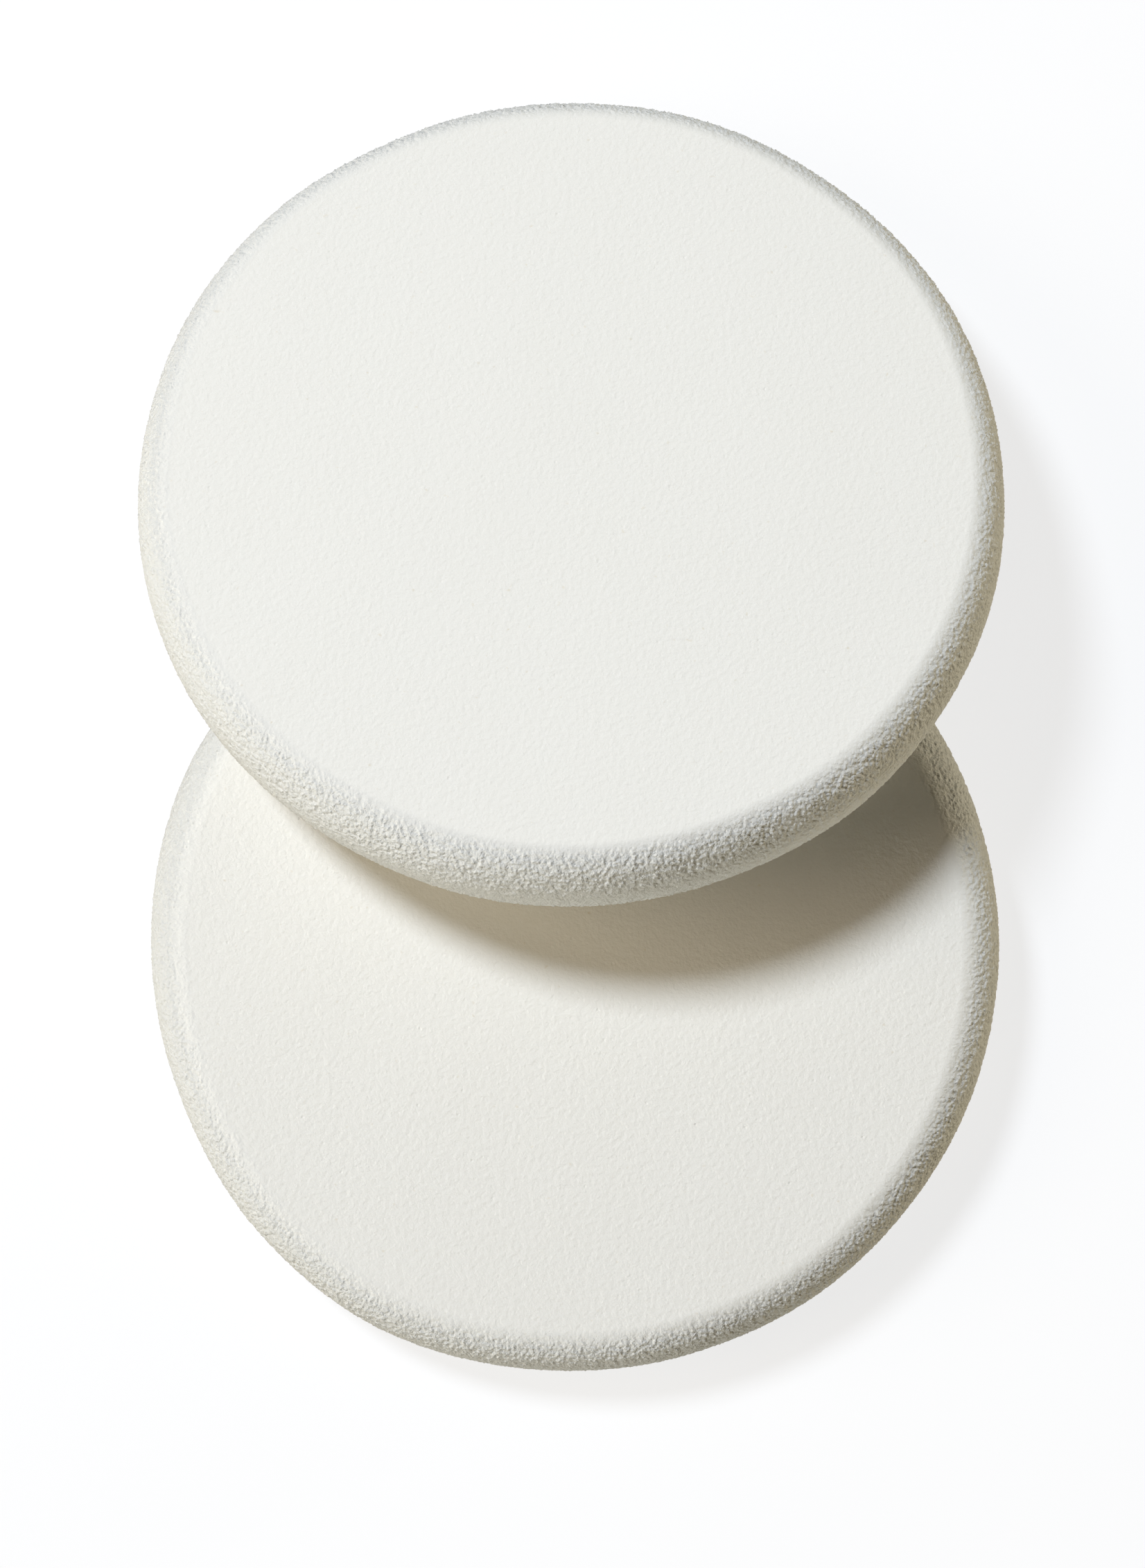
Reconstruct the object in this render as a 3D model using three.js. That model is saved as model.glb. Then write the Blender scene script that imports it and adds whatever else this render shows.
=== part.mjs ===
// A pair of round makeup sponges: one lies flat, the other leans back over its edge.
// Millimetres, +Z up. The origin is the middle of the lower sponge's underside.

import * as THREE from 'three';

// Each sponge is a slice of fine white foam with its edge ground round.
const spongeDiameter = 55; // across the widest part of the ground rim
const spongeThickness = 7.5; // between the two sliced faces
const shoulderRadius = 2; // of the soft turn from a face into the rim
const shoulderTurn = THREE.MathUtils.degToRad(60); // where the flatter belly of the rim takes over

// How the pair lies.
const leanAngle = THREE.MathUtils.degToRad(16.5); // of the upper sponge, against the table
const contactClearance = 0.3; // between the upper underside and the shoulder that it leans on
const sidewaysShift = 0.9; // of the upper sponge, along +X

// Facets round the disc, and along the arcs of the rim.
const turnSteps = 96;
const shoulderSteps = 4;
const bellySteps = 6;

const halfThickness = spongeThickness / 2;

// The rim's section is three arcs that run smoothly into each other and into both faces: a shoulder,
// the belly and the other shoulder. Each arc has its middle, its radius and its first outward angle.
const shoulderHeight = halfThickness - shoulderRadius;
const bellyRadius = shoulderRadius + shoulderHeight / Math.cos(shoulderTurn);
const bellyMiddle = spongeDiameter / 2 - bellyRadius;
const faceRadius = bellyMiddle + shoulderHeight * Math.tan(shoulderTurn);

function arcPoints(middleX, middleY, radius, firstAngle, lastAngle, steps) {
  const arc = new THREE.EllipseCurve(middleX, middleY, radius, radius, firstAngle, lastAngle);
  return arc.getPoints(steps);
}

// From the lower face's edge, where the rim faces straight down, to the upper face's edge.
function rimProfile() {
  const down = -Math.PI / 2;
  const up = Math.PI / 2;
  const lowerShoulder = arcPoints(
    faceRadius, -shoulderHeight, shoulderRadius, down, down + shoulderTurn, shoulderSteps,
  );
  const belly = arcPoints(bellyMiddle, 0, bellyRadius, down + shoulderTurn, up - shoulderTurn, bellySteps);
  const upperShoulder = arcPoints(
    faceRadius, shoulderHeight, shoulderRadius, up - shoulderTurn, up, shoulderSteps,
  );
  return [...lowerShoulder, ...belly.slice(1, -1), ...upperShoulder];
}

// A whole sponge, turned about +Z, with its middle at the origin.
function spongeGeometry() {
  const profile = [
    new THREE.Vector2(0, -halfThickness),
    ...rimProfile(),
    new THREE.Vector2(0, halfThickness),
  ];
  return new THREE.LatheGeometry(profile, turnSteps).rotateX(Math.PI / 2);
}

function spongeMesh(name) {
  const foam = new THREE.MeshStandardMaterial({ color: 0xeeefea, roughness: 0.95, metalness: 0 });
  const mesh = new THREE.Mesh(spongeGeometry(), foam);
  mesh.name = name;
  return mesh;
}

// The lower sponge lies flat on its sliced underside.
function lowerSponge() {
  const sponge = spongeMesh('lower_sponge');
  sponge.position.z = halfThickness;
  return sponge;
}

// The upper sponge leans: its back shoulder stands on the table, and its underside rests on the back
// shoulder of the lower sponge, so that its front edge is lifted clear of the lower face.
function upperSponge() {
  const sponge = spongeMesh('upper_sponge');
  const rise = Math.sin(leanAngle);
  const level = Math.cos(leanAngle);
  const middleZ = faceRadius * rise + shoulderHeight * level + shoulderRadius;
  const contactReach = faceRadius * rise + (spongeThickness - shoulderRadius) * level + shoulderRadius;
  const middleY = (contactReach + contactClearance + halfThickness - middleZ * level) / rise;
  sponge.position.set(sidewaysShift, middleY, middleZ);
  sponge.rotation.x = -leanAngle;
  return sponge;
}

const makeupSponges = new THREE.Group();
makeupSponges.add(lowerSponge(), upperSponge());

export default makeupSponges;
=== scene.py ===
# A pair of round foam makeup sponges, seen from almost straight above.
from math import cos, pi, radians, sin, sqrt, tan
from random import Random

import bpy
from mathutils import Matrix, Vector, noise


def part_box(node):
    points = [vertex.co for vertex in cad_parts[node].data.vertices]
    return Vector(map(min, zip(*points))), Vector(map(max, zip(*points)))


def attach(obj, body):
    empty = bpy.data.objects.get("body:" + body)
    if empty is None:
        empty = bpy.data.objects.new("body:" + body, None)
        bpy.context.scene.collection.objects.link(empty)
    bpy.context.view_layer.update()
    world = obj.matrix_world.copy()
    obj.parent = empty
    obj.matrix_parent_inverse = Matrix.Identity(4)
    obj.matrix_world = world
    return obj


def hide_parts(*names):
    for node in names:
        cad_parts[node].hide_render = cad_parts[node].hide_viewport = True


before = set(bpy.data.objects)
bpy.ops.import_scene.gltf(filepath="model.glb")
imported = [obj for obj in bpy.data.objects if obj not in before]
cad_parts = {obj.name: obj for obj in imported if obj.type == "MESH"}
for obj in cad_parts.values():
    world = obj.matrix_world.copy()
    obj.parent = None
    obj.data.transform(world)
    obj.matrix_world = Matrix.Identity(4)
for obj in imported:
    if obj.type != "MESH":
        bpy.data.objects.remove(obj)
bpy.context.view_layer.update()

# Lower sponge
# A round slice of fine white latex foam that lies flat on its underside. A band knife cuts both
# faces, which stay velvety, and a wheel grinds the edge round and tears its cells into crumbs.

MM = 0.001
SHOULDER_TURN = radians(60)  # how far the soft turn from a face goes before the rim's belly takes over
SWELL_SIZE = 9.0 * MM  # slow unevenness of the whole slice
SWELL_HEIGHT = 0.05 * MM
CLUMP_SIZE = 0.55 * MM  # torn cells that hang together
CLUMP_HEIGHT = 0.03 * MM
CRUMB_GAP = 0.23 * MM  # between the torn cell walls that stand up
CRUMB_REACH = 0.9  # of a crumb round its tip, as a share of the gap
CRUMB_HEIGHT = 0.18 * MM
CRUMB_SHARPNESS = 1.5  # power of the slope from a crumb's tip down to its foot
CRUMBS_BEGIN = radians(3)  # turn from a face at which the first crumbs stand up
CRUMBS_FULL = radians(34)  # and at which they have their full height
BELLY_BEGINS = radians(66)  # turn past which the wheel runs flat and leaves lower crumbs
BELLY_FULL = radians(90)
BELLY_CRUMBS = 0.5  # share of the crumbs' height which is left on the belly
RIM_SINK = 0.10 * MM  # puts the tips of the crumbs, and not their middle, on the plain form
RIM_MASK_TURN = radians(33)  # turn from a face at which the rim's painted shade and its cells' bump are full

RIM_RINGS = 120
RIM_STEPS = 2048
RIM_JITTER = 0.35  # share of a step that a point of the rim may stray by
FACE_RING_GAP = 0.8 * MM
WIDEST_FACE_STEP = 1.0 * MM
WANDER_WAVES = 2.2  # how often the edge strays in and out, in noise cells per radian
MAP_FILL = 0.98  # leaves a margin round the discs of the texture map


def rim_arcs(radius, half_height, shoulder):
    """The three arcs of the rim's section, from the top face's edge to the bottom face's.

    The shoulder is the radius of the first and last arcs, and the belly lies between them.
    Each entry is (run, middle's distance from the axis, middle's height, arc radius, first turn).
    A turn is the angle of the outward normal from straight up.
    """
    shoulder_height = half_height - shoulder
    belly_radius = shoulder + shoulder_height / cos(SHOULDER_TURN)
    belly_middle = radius - belly_radius
    shoulder_middle = belly_middle + shoulder_height * tan(SHOULDER_TURN)
    shoulder_run = shoulder * SHOULDER_TURN
    belly_run = belly_radius * (pi - 2 * SHOULDER_TURN)
    return [
        (shoulder_run, shoulder_middle, shoulder_height, shoulder, 0.0),
        (belly_run, belly_middle, 0.0, belly_radius, SHOULDER_TURN),
        (shoulder_run, shoulder_middle, -shoulder_height, shoulder, pi - SHOULDER_TURN),
    ]


def rim_point(arcs, run):
    """(distance from the axis, height, turn) after that run along the rim's section."""
    for length, middle, height, arc_radius, first_turn in arcs:
        if run <= length:
            break
        run -= length
    turn = first_turn + min(run, length) / arc_radius
    return middle + arc_radius * sin(turn), height + arc_radius * cos(turn), turn


def face_rings(face_radius):
    """(radius, steps) of the rings over a flat face, from its edge inwards.

    The steps halve towards the middle, so that they stay about as wide as the rings are apart.
    """
    count = round(face_radius / FACE_RING_GAP)
    rings = []
    steps = RIM_STEPS
    for ring in range(1, count):
        radius = face_radius * (1 - ring / count)
        if 2 * pi * radius / steps < WIDEST_FACE_STEP / 2 and steps % 2 == 0:
            steps //= 2
        rings.append((radius, steps))
    return rings


def eased(turn, first, last):
    """0 up to the first turn from a face, 1 past the last, and a soft rise between them."""
    share = min(max((min(turn, pi - turn) - first) / (last - first), 0), 1)
    return share * share * (3 - 2 * share)


def torn(turn):
    """How far into the ground rim: 0 on a cut face, 1 round the rim. It sets the rim's painted shade and
    the bump of its torn cells.
    """
    return min(min(turn, pi - turn) / RIM_MASK_TURN, 1)


def foam_relief(place, turn):
    """Height of the foam's surface over its plain form: swells everywhere, crumbs on the rim."""
    swell = SWELL_HEIGHT * noise.noise(place / SWELL_SIZE)
    ground = eased(turn, CRUMBS_BEGIN, CRUMBS_FULL)
    if ground == 0:
        return swell
    ground *= 1 - (1 - BELLY_CRUMBS) * eased(turn, BELLY_BEGINS, BELLY_FULL)
    clump = CLUMP_HEIGHT * noise.noise(place / CLUMP_SIZE)
    nearest_tip = noise.voronoi(place / CRUMB_GAP)[0][0]
    crumb = CRUMB_HEIGHT * max(1 - nearest_tip / CRUMB_REACH, 0) ** CRUMB_SHARPNESS
    return swell + ground * (clump + crumb - RIM_SINK)


def foam_disc(name, radius, half_height, shoulder, grain_shift, wander, wander_shift):
    """A sponge as a closed mesh round its own middle, with its relief and its ground mask.

    The wander is how far the wheel strays from a true circle, and each shift picks a stretch of noise.
    """
    arcs = rim_arcs(radius, half_height, shoulder)
    whole_run = sum(arc[0] for arc in arcs)
    face_radius = rim_point(arcs, 0)[0]
    inner = face_rings(face_radius)
    half_travel = face_radius + whole_run / 2
    stray = Random(name)
    points = []
    ground = []
    flat_places = []
    starts = []

    def add_point(angle, distance, height, turn, travel):
        out = Vector((cos(angle), sin(angle), 0))
        strayed = wander * noise.noise(out * WANDER_WAVES + wander_shift)
        place = out * (distance + strayed * distance / radius) + Vector((0, 0, height))
        normal = out * sin(turn) + Vector((0, 0, cos(turn)))
        points.append(place + normal * foam_relief(place + grain_shift, turn))
        ground.append(torn(turn))
        flat_places.append((out, travel))

    def add_face_ring(distance, steps, height, turn, travel):
        starts.append((len(points), steps))
        for step in range(steps):
            add_point(2 * pi * step / steps, distance, height, turn, travel)

    for distance, steps in reversed(inner):
        add_face_ring(distance, steps, half_height, 0.0, distance)
    for ring in range(RIM_RINGS + 1):
        starts.append((len(points), RIM_STEPS))
        free = RIM_JITTER if 0 < ring < RIM_RINGS else 0
        for step in range(RIM_STEPS):
            angle = 2 * pi * (step + ring % 2 / 2 + stray.uniform(-free, free)) / RIM_STEPS
            run = whole_run * (ring + stray.uniform(-free, free)) / RIM_RINGS
            add_point(angle, *rim_point(arcs, run), face_radius + run)
    for distance, steps in inner:
        add_face_ring(distance, steps, -half_height, pi, 2 * half_travel - distance)

    faces = []
    for upper, lower in zip(starts, starts[1:]):
        faces += joined_rings(*upper, *lower)
    for (first, steps), height, flip in ((starts[0], half_height, False), (starts[-1], -half_height, True)):
        pole = len(points)
        points.append(Vector((0, 0, height)))
        ground.append(0.0)
        flat_places.append((Vector(), 2 * half_travel if flip else 0))
        for step in range(steps):
            fan = (pole, first + step, first + (step + 1) % steps)
            faces.append(fan[::-1] if flip else fan)

    mesh = bpy.data.meshes.new(name)
    mesh.from_pydata(points, [], faces)
    mesh.polygons.foreach_set("use_smooth", [True] * len(mesh.polygons))
    mesh.attributes.new("ground", "FLOAT", "POINT").data.foreach_set("value", ground)
    add_flat_map(mesh, flat_places, half_travel)
    sponge = bpy.data.objects.new(name, mesh)
    bpy.context.scene.collection.objects.link(sponge)
    return sponge


def add_flat_map(mesh, flat_places, half_travel):
    """Texture map: each half of the sponge, parted at its widest, laid out as a disc.

    A flat place is a direction from the axis and the travel from the top face's middle.
    """
    disc_share = 1 / (2 + sqrt(2))  # radius of two like discs across a square's corners
    flat_map = mesh.uv_layers.new(name="OFBake").data
    for face in mesh.polygons:
        corners = [flat_places[corner] for corner in face.vertices]
        on_top = sum(travel for out, travel in corners) < len(corners) * half_travel
        middle = disc_share if on_top else 1 - disc_share
        for loop, (out, travel) in zip(face.loop_indices, corners):
            reach = (travel if on_top else 2 * half_travel - travel) / half_travel
            reach *= disc_share * MAP_FILL
            flat_map[loop].uv = (middle + reach * out.x, middle + reach * out.y)


def joined_rings(upper, upper_steps, lower, lower_steps):
    """Faces between two neighbouring rings, of which one may have twice the other's steps."""
    widest = max(upper_steps, lower_steps)
    faces = []
    for step in range(widest):
        a = upper + step * upper_steps // widest
        b = lower + step * lower_steps // widest
        c = lower + (step + 1) * lower_steps // widest % lower_steps
        d = upper + (step + 1) * upper_steps // widest % upper_steps
        faces.append(list(dict.fromkeys((a, b, c, d))))
    return faces


def lay_down(sponge, centre, lean):
    """Puts a sponge at its place, leaning back by that angle."""
    sponge.data.transform(Matrix.Translation(centre) @ Matrix.Rotation(-lean, 4, "X"))


GRAIN_SIZE = 0.36 * MM  # of the velvet on the cut faces
GRAIN_ROTATION = (0.6, 0.4, 0.3)  # radians; the faces then cut the noise across its own grid
PIT_GAP = 1.4 * MM
PIT_REACH = 0.1  # of a pit, as a share of the gap
PIT_DEPTH = 0.35  # in parts of the material's grain depth
CELL_SIZE = 0.13 * MM  # of the single torn cells of the rim


def foam_grain_group():
    """Node group: velvety grain and stray pits of the faces, and single torn cells of the rim.

    The height comes out in parts of the material's grain depth.
    """
    group = bpy.data.node_groups.new("foam_grain", "ShaderNodeTree")
    group.interface.new_socket("Place", in_out="INPUT", socket_type="NodeSocketVector")
    group.interface.new_socket("Ground", in_out="INPUT", socket_type="NodeSocketFloat")
    group.interface.new_socket("Height", in_out="OUTPUT", socket_type="NodeSocketFloat")
    nodes, links = group.nodes, group.links
    given = nodes.new("NodeGroupInput")
    result = nodes.new("NodeGroupOutput")

    oblique = nodes.new("ShaderNodeMapping")
    oblique.inputs["Rotation"].default_value = GRAIN_ROTATION
    links.new(given.outputs["Place"], oblique.inputs["Vector"])
    grain = nodes.new("ShaderNodeTexNoise")
    grain.inputs["Scale"].default_value = 1 / GRAIN_SIZE
    grain.inputs["Detail"].default_value = 2.0
    grain.inputs["Roughness"].default_value = 0.6
    links.new(oblique.outputs["Vector"], grain.inputs["Vector"])

    pits = nodes.new("ShaderNodeTexVoronoi")
    pits.inputs["Scale"].default_value = 1 / PIT_GAP
    links.new(oblique.outputs["Vector"], pits.inputs["Vector"])
    pitted = nodes.new("ShaderNodeMapRange")
    pitted.interpolation_type = "SMOOTHSTEP"
    pitted.inputs["From Min"].default_value = 0.0
    pitted.inputs["From Max"].default_value = PIT_REACH
    pitted.inputs["To Min"].default_value = -PIT_DEPTH
    pitted.inputs["To Max"].default_value = 0.0
    links.new(pits.outputs["Distance"], pitted.inputs["Value"])
    face = nodes.new("ShaderNodeMath")
    links.new(grain.outputs["Fac"], face.inputs[0])
    links.new(pitted.outputs["Result"], face.inputs[1])

    cells = nodes.new("ShaderNodeTexNoise")
    cells.inputs["Scale"].default_value = 1 / CELL_SIZE
    cells.inputs["Detail"].default_value = 1.0
    links.new(oblique.outputs["Vector"], cells.inputs["Vector"])
    rough = nodes.new("ShaderNodeMath")
    rough.operation = "MULTIPLY_ADD"
    links.new(cells.outputs["Fac"], rough.inputs[0])
    links.new(given.outputs["Ground"], rough.inputs[1])
    links.new(face.outputs["Value"], rough.inputs[2])
    links.new(rough.outputs["Value"], result.inputs["Height"])
    return group


CLOUD_SIZE = 5 * MM
SPECK_SIZE = 0.42 * MM
SPECK_BEGINS = 0.73  # level of the noise above which a speck shows
SPECK_FULL = 0.85


def foam_tint_group():
    """Node group: the foam's off-white with faint clouds and stray cream specks, and painted shade on the
    ground rim.
    """
    group = bpy.data.node_groups.new("foam_tint", "ShaderNodeTree")
    group.interface.new_socket("Place", in_out="INPUT", socket_type="NodeSocketVector")
    group.interface.new_socket("Foam", in_out="INPUT", socket_type="NodeSocketColor")
    group.interface.new_socket("Cloud", in_out="INPUT", socket_type="NodeSocketColor")
    group.interface.new_socket("Speck", in_out="INPUT", socket_type="NodeSocketColor")
    group.interface.new_socket("RimShade", in_out="INPUT", socket_type="NodeSocketColor")
    group.interface.new_socket("Ground", in_out="INPUT", socket_type="NodeSocketFloat")
    group.interface.new_socket("Color", in_out="OUTPUT", socket_type="NodeSocketColor")
    nodes, links = group.nodes, group.links
    given = nodes.new("NodeGroupInput")
    result = nodes.new("NodeGroupOutput")

    clouds = nodes.new("ShaderNodeTexNoise")
    clouds.inputs["Scale"].default_value = 1 / CLOUD_SIZE
    clouds.inputs["Detail"].default_value = 4.0
    links.new(given.outputs["Place"], clouds.inputs["Vector"])
    clouded = nodes.new("ShaderNodeMix")
    clouded.data_type = "RGBA"
    links.new(clouds.outputs["Fac"], clouded.inputs["Factor"])
    links.new(given.outputs["Foam"], clouded.inputs["A"])
    links.new(given.outputs["Cloud"], clouded.inputs["B"])

    specks = nodes.new("ShaderNodeTexNoise")
    specks.inputs["Scale"].default_value = 1 / SPECK_SIZE
    specks.inputs["Detail"].default_value = 1.0
    links.new(given.outputs["Place"], specks.inputs["Vector"])
    rare = nodes.new("ShaderNodeMapRange")
    rare.inputs["From Min"].default_value = SPECK_BEGINS
    rare.inputs["From Max"].default_value = SPECK_FULL
    links.new(specks.outputs["Fac"], rare.inputs["Value"])
    specked = nodes.new("ShaderNodeMix")
    specked.data_type = "RGBA"
    links.new(rare.outputs["Result"], specked.inputs["Factor"])
    links.new(clouded.outputs["Result"], specked.inputs["A"])
    links.new(given.outputs["Speck"], specked.inputs["B"])
    # painted shade: towards the ground rim the colour turns to a darker rim colour
    rimmed = nodes.new("ShaderNodeMix")
    rimmed.data_type = "RGBA"
    links.new(given.outputs["Ground"], rimmed.inputs["Factor"])
    links.new(specked.outputs["Result"], rimmed.inputs["A"])
    links.new(given.outputs["RimShade"], rimmed.inputs["B"])
    links.new(rimmed.outputs["Result"], result.inputs["Color"])
    return group


foam_grain = foam_grain_group()
foam_tint = foam_tint_group()


def foam_material(name, foam, cloud, speck, rim_painted_shade, grain_depth):
    """Matt latex foam: tint and grain from the two groups, the rest the same all over."""
    material = bpy.data.materials.new(name)
    material.use_nodes = True
    nodes, links = material.node_tree.nodes, material.node_tree.links
    shader = nodes["Principled BSDF"]
    shader.inputs["Roughness"].default_value = 0.95
    shader.inputs["Specular IOR Level"].default_value = 0.15
    place = nodes.new("ShaderNodeTexCoord")
    tint = nodes.new("ShaderNodeGroup")
    tint.node_tree = foam_tint
    tint.inputs["Foam"].default_value = (*foam, 1)
    tint.inputs["Cloud"].default_value = (*cloud, 1)
    tint.inputs["Speck"].default_value = (*speck, 1)
    # painted shade: the colour that the ground rim turns to, darker than the foam
    tint.inputs["RimShade"].default_value = (*rim_painted_shade, 1)
    links.new(place.outputs["Object"], tint.inputs["Place"])
    links.new(tint.outputs["Color"], shader.inputs["Base Color"])
    ground = nodes.new("ShaderNodeAttribute")
    ground.attribute_name = "ground"
    links.new(ground.outputs["Fac"], tint.inputs["Ground"])
    grain = nodes.new("ShaderNodeGroup")
    grain.node_tree = foam_grain
    links.new(place.outputs["Object"], grain.inputs["Place"])
    links.new(ground.outputs["Fac"], grain.inputs["Ground"])
    bump = nodes.new("ShaderNodeBump")
    bump.inputs["Distance"].default_value = grain_depth
    links.new(grain.outputs["Height"], bump.inputs["Height"])
    links.new(bump.outputs["Normal"], shader.inputs["Normal"])
    return material


lower_low, lower_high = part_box("lower_sponge")
lower_middle = (lower_low + lower_high) / 2
sponge_radius = (lower_high.x - lower_low.x) / 2
half_thickness = (lower_high.z - lower_low.z) / 2
lower_sponge = foam_disc(
    "lower_foam_disc",
    sponge_radius,
    half_thickness,
    shoulder=2.5 * MM,
    grain_shift=Vector((0.31, 0.17, 0.05)),
    wander=0.44 * MM,
    wander_shift=Vector((0.6, 0.4, 8.5)),
)
lay_down(lower_sponge, lower_middle, 0)
lower_sponge.data.materials.append(foam_material(
    "lower_sponge_foam",
    foam=(0.830, 0.810, 0.745),
    cloud=(0.822, 0.800, 0.732),
    speck=(0.76, 0.71, 0.60),
    # painted shade: the ground rim is coloured darker than the foam
    rim_painted_shade=(0.632, 0.625, 0.585),
    grain_depth=0.065 * MM,
))
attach(lower_sponge, "lower")
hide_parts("lower_sponge")

# Upper sponge
# A second slice of the same foam, loose on the first. Its back edge stands on the table and its
# underside rests on the lower sponge's back edge, so it leans back and its front edge is raised.

UPPER_LEAN = radians(16.5)
upper_low, upper_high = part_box("upper_sponge")
upper_middle = (upper_low + upper_high) / 2
upper_sponge = foam_disc(
    "upper_foam_disc",
    sponge_radius,
    half_thickness,
    shoulder=2.0 * MM,
    grain_shift=Vector((0.72, 0.44, 0.23)),
    wander=0.24 * MM,
    wander_shift=Vector((0.5, 0.6, 31.5)),
)
lay_down(upper_sponge, upper_middle, UPPER_LEAN)
upper_sponge.data.materials.append(foam_material(
    "upper_sponge_foam",
    foam=(0.830, 0.810, 0.745),
    cloud=(0.822, 0.800, 0.732),
    speck=(0.76, 0.71, 0.60),
    # painted shade: the ground rim is coloured darker than the foam
    rim_painted_shade=(0.655, 0.648, 0.606),
    grain_depth=0.065 * MM,
))
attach(upper_sponge, "upper")
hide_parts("upper_sponge")

# Table top
# A plain pale sheet of card that the pair lies on. It shows as white and keeps the pair's soft shadow,
# and a colour of its own sets the light that it throws back onto the foam.

TABLE_HALF = 0.22
TABLE_DROP = 0.07 * MM  # keeps the sheet just under the lowest crumbs
TABLE_WHITENESS = 0.78  # share of what is seen of the sheet that is plain white
TABLE_BOUNCE = (0.30, 0.28, 0.23)  # colour of the light that the sheet throws back


def white_rays(nodes, links):
    """Output that is 1 for the rays that meet plain white: those of the camera, mirrors and glass."""
    rays = nodes.new("ShaderNodeLightPath")
    mirrored = nodes.new("ShaderNodeMath")
    mirrored.operation = "MAXIMUM"
    links.new(rays.outputs["Is Glossy Ray"], mirrored.inputs[0])
    links.new(rays.outputs["Is Transmission Ray"], mirrored.inputs[1])
    seen = nodes.new("ShaderNodeMath")
    seen.operation = "MAXIMUM"
    links.new(rays.outputs["Is Camera Ray"], seen.inputs[0])
    links.new(mirrored.outputs["Value"], seen.inputs[1])
    return seen.outputs["Value"]


def table_material():
    material = bpy.data.materials.new("table_white")
    material.use_nodes = True
    nodes, links = material.node_tree.nodes, material.node_tree.links
    nodes.clear()
    sheet = nodes.new("ShaderNodeBsdfDiffuse")
    sheet.name = "sheet_bounce"
    sheet.inputs["Color"].default_value = (*TABLE_BOUNCE, 1)
    shaded = nodes.new("ShaderNodeBsdfDiffuse")
    shaded.inputs["Color"].default_value = (1, 1, 1, 1)
    white = nodes.new("ShaderNodeEmission")
    white.inputs["Strength"].default_value = 1.0
    shown = nodes.new("ShaderNodeMixShader")
    shown.inputs["Fac"].default_value = TABLE_WHITENESS
    links.new(shaded.outputs["BSDF"], shown.inputs[1])
    links.new(white.outputs["Emission"], shown.inputs[2])
    chosen = nodes.new("ShaderNodeMixShader")
    links.new(white_rays(nodes, links), chosen.inputs["Fac"])
    links.new(sheet.outputs["BSDF"], chosen.inputs[1])
    links.new(shown.outputs["Shader"], chosen.inputs[2])
    output = nodes.new("ShaderNodeOutputMaterial")
    links.new(chosen.outputs["Shader"], output.inputs["Surface"])
    return material


table_mesh = bpy.data.meshes.new("table_top")
table_mesh.from_pydata(
    [(x * TABLE_HALF, y * TABLE_HALF, -TABLE_DROP) for x, y in ((-1, -1), (1, -1), (1, 1), (-1, 1))],
    [],
    [(0, 1, 2, 3)],
)
table_mesh.materials.append(table_material())
table_top = bpy.data.objects.new("table_top", table_mesh)
bpy.context.scene.collection.objects.link(table_top)

# Light
# A small cool key from the back left, high up, a wide warm lamp on the left, and three low cards, on
# the right and at both sides of the front, that only the rims see. The surroundings are nearly dark.

LIGHT_DISTANCE = 0.9
LIGHT_AIM = Vector((0, 14, 10)) * MM
CARD_HEIGHT = radians(2.5)  # so low that hardly any of the cards' light falls on the faces
CARD_WIDTH = 0.06


def soft_light(name, azimuth, height, width, colour, irradiance):
    """A round soft lamp. Azimuth is seen from above, counted from +X towards +Y."""
    lamp = bpy.data.lights.new(name, "AREA")
    lamp.shape = "DISK"
    lamp.size = width
    lamp.color = colour
    lamp.energy = irradiance * pi * LIGHT_DISTANCE ** 2
    holder = bpy.data.objects.new(name, lamp)
    way = Vector((cos(azimuth) * cos(height), sin(azimuth) * cos(height), sin(height)))
    holder.location = LIGHT_AIM + way * LIGHT_DISTANCE
    holder.rotation_euler = way.to_track_quat("Z", "Y").to_euler()
    bpy.context.scene.collection.objects.link(holder)


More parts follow.
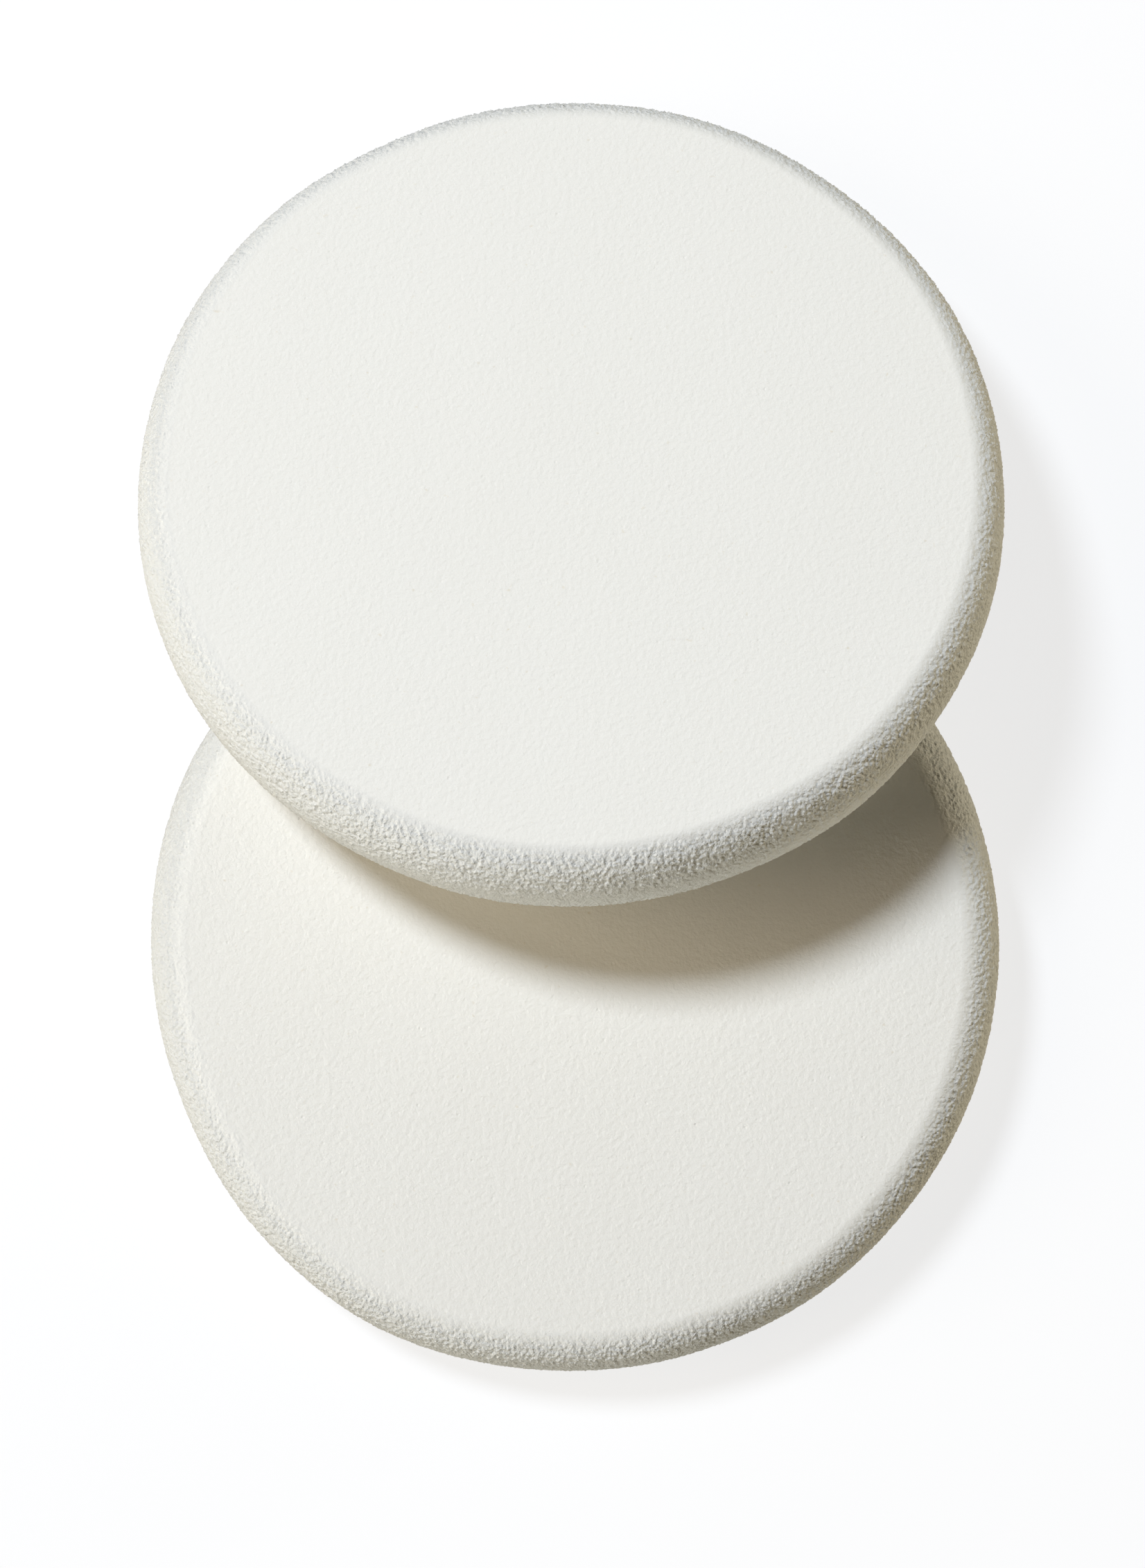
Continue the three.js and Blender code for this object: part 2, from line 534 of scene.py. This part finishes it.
soft_light(
    "key_softbox",
    azimuth=radians(135.5),
    height=radians(55.4),
    width=0.19,
    colour=(0.808, 0.885, 1.0),
    irradiance=3.11,
)
soft_light(
    "left_softbox",
    azimuth=radians(180),
    height=radians(35),
    width=0.6,
    colour=(1.0, 0.86, 0.66),
    irradiance=1.42,
)
soft_light(
    "right_card",
    azimuth=radians(18),
    height=CARD_HEIGHT,
    width=CARD_WIDTH,
    colour=(1.0, 0.92, 0.72),
    irradiance=1.20,
)
soft_light(
    "front_right_card",
    azimuth=radians(330),
    height=CARD_HEIGHT,
    width=CARD_WIDTH,
    colour=(1.0, 0.86, 0.58),
    irradiance=0.54,
)
soft_light(
    "front_left_card",
    azimuth=radians(235),
    height=CARD_HEIGHT,
    width=CARD_WIDTH,
    colour=(0.98, 1.0, 0.96),
    irradiance=1.32,
)

FILL_COLOUR = (1.0, 0.70, 0.40)
FILL_STRENGTH = 0.02

world = bpy.data.worlds.new("studio")
bpy.context.scene.world = world
world.use_nodes = True
world_nodes = world.node_tree.nodes
world_links = world.node_tree.links
fill = world_nodes["Background"]
fill.inputs["Color"].default_value = (*FILL_COLOUR, 1)
fill.inputs["Strength"].default_value = FILL_STRENGTH
backdrop = world_nodes.new("ShaderNodeBackground")
backdrop.inputs["Color"].default_value = (1, 1, 1, 1)
backdrop.inputs["Strength"].default_value = 1.0
world_choice = world_nodes.new("ShaderNodeMixShader")
world_links.new(white_rays(world_nodes, world_links), world_choice.inputs["Fac"])
world_links.new(fill.outputs["Background"], world_choice.inputs[1])
world_links.new(backdrop.outputs["Background"], world_choice.inputs[2])
world_links.new(world_choice.outputs["Shader"], world_nodes["World Output"].inputs["Surface"])

# Camera
# Above the pair, tipped a little towards its front.

FRAME_HEIGHT_PIXELS = 2262
FOCAL_PIXELS = 5233
CAMERA_AIM = Vector((0.30, 10.70, 0)) * MM
CAMERA_DISTANCE = 240 * MM
CAMERA_TIP = radians(4.28)  # from straight down, towards the front
CAMERA_ROLL = radians(-2.19)

camera_data = bpy.data.cameras.new("camera")
camera_data.sensor_width = 36
camera_data.lens = camera_data.sensor_width * FOCAL_PIXELS / FRAME_HEIGHT_PIXELS
camera_data.clip_start = 0.01
camera = bpy.data.objects.new("camera", camera_data)
camera.matrix_world = (
    Matrix.Translation(CAMERA_AIM)
    @ Matrix.Rotation(CAMERA_TIP, 4, "X")
    @ Matrix.Rotation(CAMERA_ROLL, 4, "Z")
    @ Matrix.Translation((0, 0, CAMERA_DISTANCE))
)
bpy.context.scene.collection.objects.link(camera)
bpy.context.scene.camera = camera
bpy.context.scene.view_settings.view_transform = "Standard"
